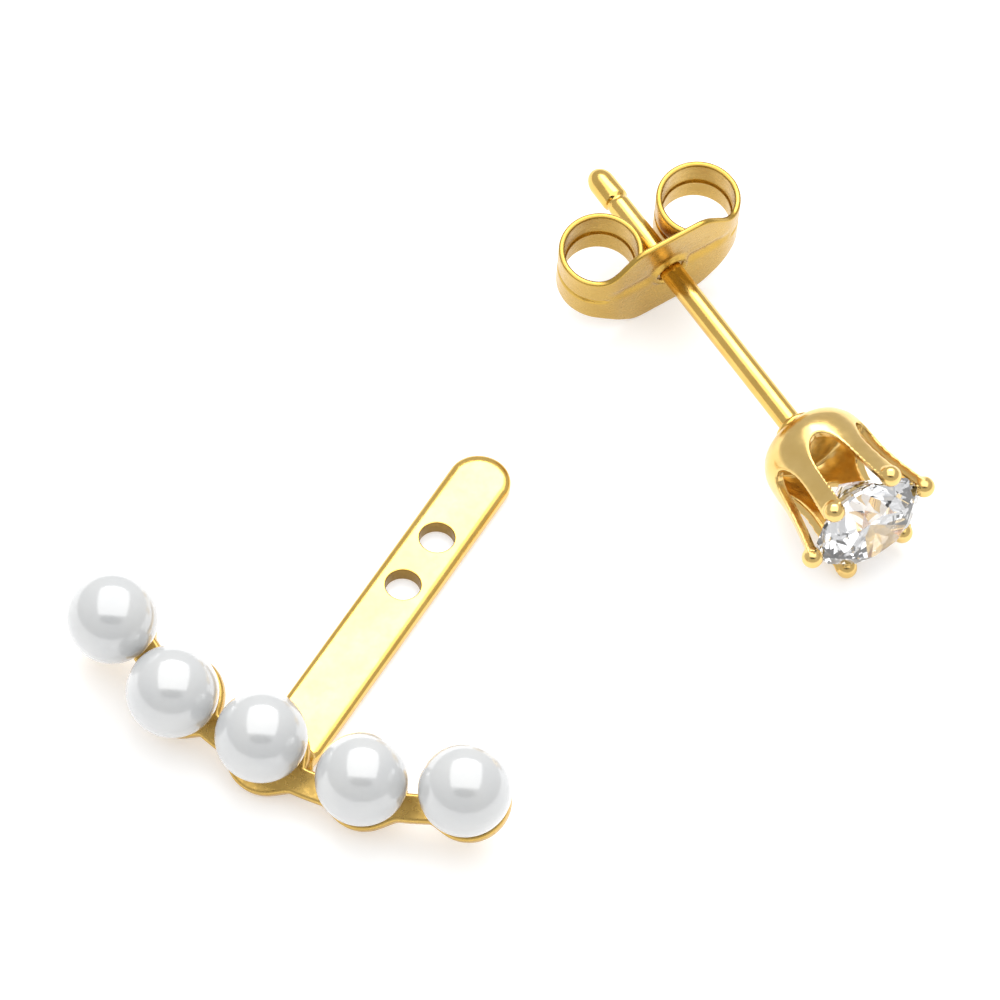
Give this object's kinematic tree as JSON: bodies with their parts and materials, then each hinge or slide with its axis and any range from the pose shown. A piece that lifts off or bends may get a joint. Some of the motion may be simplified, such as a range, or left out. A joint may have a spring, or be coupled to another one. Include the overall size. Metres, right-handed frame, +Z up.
{
  "type": "ear jacket earring",
  "caption": "Ear jacket with an arc of pearls on a holed back bar, lying beside the crown-set stone stud and butterfly clutch that carry it on the earlobe.",
  "frame": {"origin": "centre of the bounding box at the surface both pieces lie on", "axes": "+Z up from that surface, -Y towards the viewer, +X to the viewer's right"},
  "size_m": [0.0278, 0.0272, 0.0049],
  "materials": {
    "gold": "polished gold plate",
    "clutch_gold": "satin gold plate",
    "pearl": "white pearl lustre",
    "stone": "clear faceted"
  },
  "bodies": {
    "earring": {"jacket_frame": "gold", "pearl_1": "pearl", "pearl_2": "pearl", "pearl_3": "pearl", "pearl_4": "pearl", "pearl_5": "pearl", "stud_setting": "gold", "stud_stone": "stone"},
    "clutch": {"clutch": "clutch_gold"}
  },
  "joints": [
    {"name": "clutch_slide", "type": "slide", "parent": "earring", "child": "clutch", "axis": [0.5764, -0.8171, 0.0142], "range_m": [-0.0031, 0.0072]}
  ]
}
